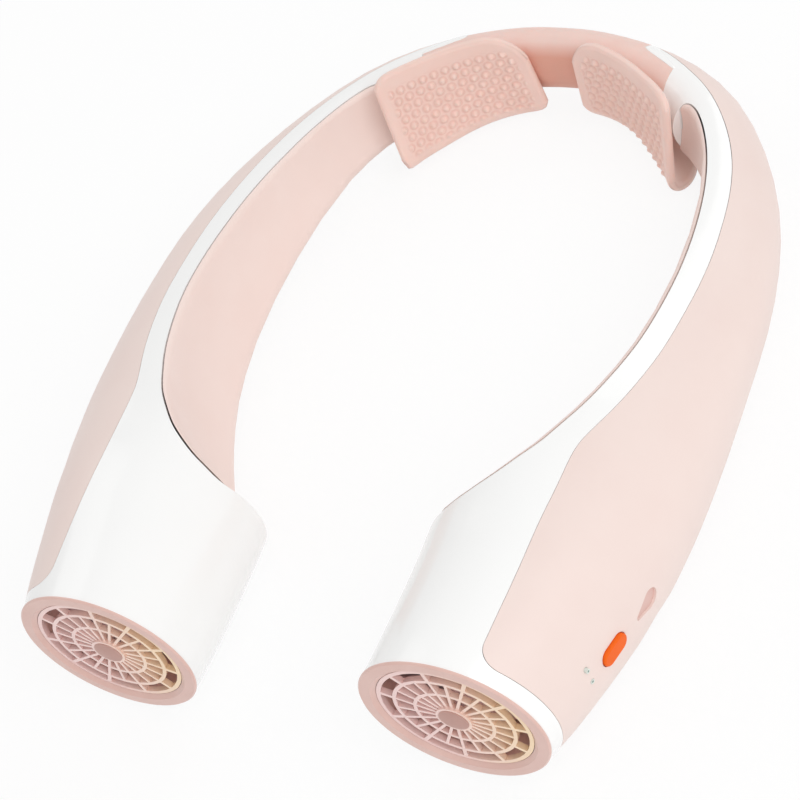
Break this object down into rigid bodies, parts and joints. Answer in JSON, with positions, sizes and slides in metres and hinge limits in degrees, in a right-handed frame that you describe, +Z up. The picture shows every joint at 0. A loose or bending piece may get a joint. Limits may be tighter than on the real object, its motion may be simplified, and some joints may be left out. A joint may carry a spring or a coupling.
{
  "type": "neck fan",
  "caption": "Horseshoe-shaped electric neck fan: hollow arms with round grilled intakes and slit outlets, joined by a soft sprung band with bumpy neck pads.",
  "frame": {"origin": "on the table under the middle of the fan: centre of the bounding box, at its bottom", "axes": "+X to the right seen from the intakes, +Y from the intakes to the band behind the neck, +Z up from the table; the fan leans back slightly because the arms and the neck pads both touch the table"},
  "size_m": [0.188, 0.236, 0.0567],
  "materials": {
    "white_shell": "glossy white moulded plastic",
    "pink_cover": "satin pale pink moulded plastic",
    "pink_liner": "satin pale pink moulded plastic",
    "pink_trim": "semi-gloss pink moulded plastic",
    "band_silicone": "soft satin silicone",
    "pad_silicone": "soft bumpy silicone",
    "fan_plastic": "moulded plastic",
    "inner_plastic": "plain moulded plastic",
    "orange_button": "glossy orange plastic",
    "light_pipe": "clear light pipe",
    "cell_wrap": "shrink-wrapped round cell",
    "circuit_board": "solder-masked laminate",
    "steel": "bare steel",
    "ferrite": "bonded ferrite",
    "bronze": "sintered bronze",
    "copper_winding": "enamelled copper on laminations",
    "lead_jacket": "flat insulated lead"
  },
  "bodies": {
    "band": {"neck_band": "band_silicone", "band_spring_strip": "steel", "band_lead": "lead_jacket", "left_neck_pad": "pad_silicone", "right_neck_pad": "pad_silicone"},
    "left_arm": {"left_arm_shell": "white_shell", "left_outer_cover": "pink_cover", "left_inner_liner": "pink_liner", "left_intake_bezel": "pink_trim", "left_intake_grille": "pink_trim", "left_fan_frame": "fan_plastic", "left_motor_bush": "bronze", "left_motor_stator": "copper_winding", "left_battery_cell": "cell_wrap", "left_battery_cradle": "inner_plastic", "usb_socket": "steel", "charge_board": "circuit_board"},
    "right_arm": {"right_arm_shell": "white_shell", "right_outer_cover": "pink_cover", "right_inner_liner": "pink_liner", "right_intake_bezel": "pink_trim", "right_intake_grille": "pink_trim", "right_fan_frame": "fan_plastic", "right_motor_bush": "bronze", "right_motor_stator": "copper_winding", "right_battery_cell": "cell_wrap", "right_battery_cradle": "inner_plastic", "control_board": "circuit_board", "control_board_screws": "steel", "button_switch": "inner_plastic", "led_light_pipes": "light_pipe"},
    "left_fan": {"left_impeller": "fan_plastic", "left_rotor_magnet": "ferrite", "left_motor_shaft": "steel"},
    "right_fan": {"right_impeller": "fan_plastic", "right_rotor_magnet": "ferrite", "right_motor_shaft": "steel"},
    "button": {"power_button": "orange_button"}
  },
  "joints": [
    {"name": "right_arm_flex", "type": "hinge", "parent": "band", "child": "right_arm", "pos_m": [0.0274, 0.11481, 0.01853], "axis": [0, 0.0541, 0.9985], "range_deg": [0, 12], "stiffness_Nm_per_rad": 4},
    {"name": "left_arm_flex", "type": "hinge", "parent": "band", "child": "left_arm", "pos_m": [-0.0274, 0.11481, 0.01853], "axis": [0, -0.0541, -0.9985], "range_deg": [0, 12], "stiffness_Nm_per_rad": 4},
    {"name": "right_fan_spin", "type": "hinge", "parent": "right_arm", "child": "right_fan", "pos_m": [0.0518, -0.11525, 0.03099], "axis": [0, 0.9985, -0.0541], "continuous": true},
    {"name": "left_fan_spin", "type": "hinge", "parent": "left_arm", "child": "left_fan", "pos_m": [-0.0518, -0.11525, 0.03099], "axis": [0, 0.9985, -0.0541], "continuous": true},
    {"name": "button_press", "type": "slide", "parent": "right_arm", "child": "button", "axis": [-0.9709, 0.239, -0.013], "range_m": [0, 0.0006], "stiffness_N_per_m": 600}
  ]
}
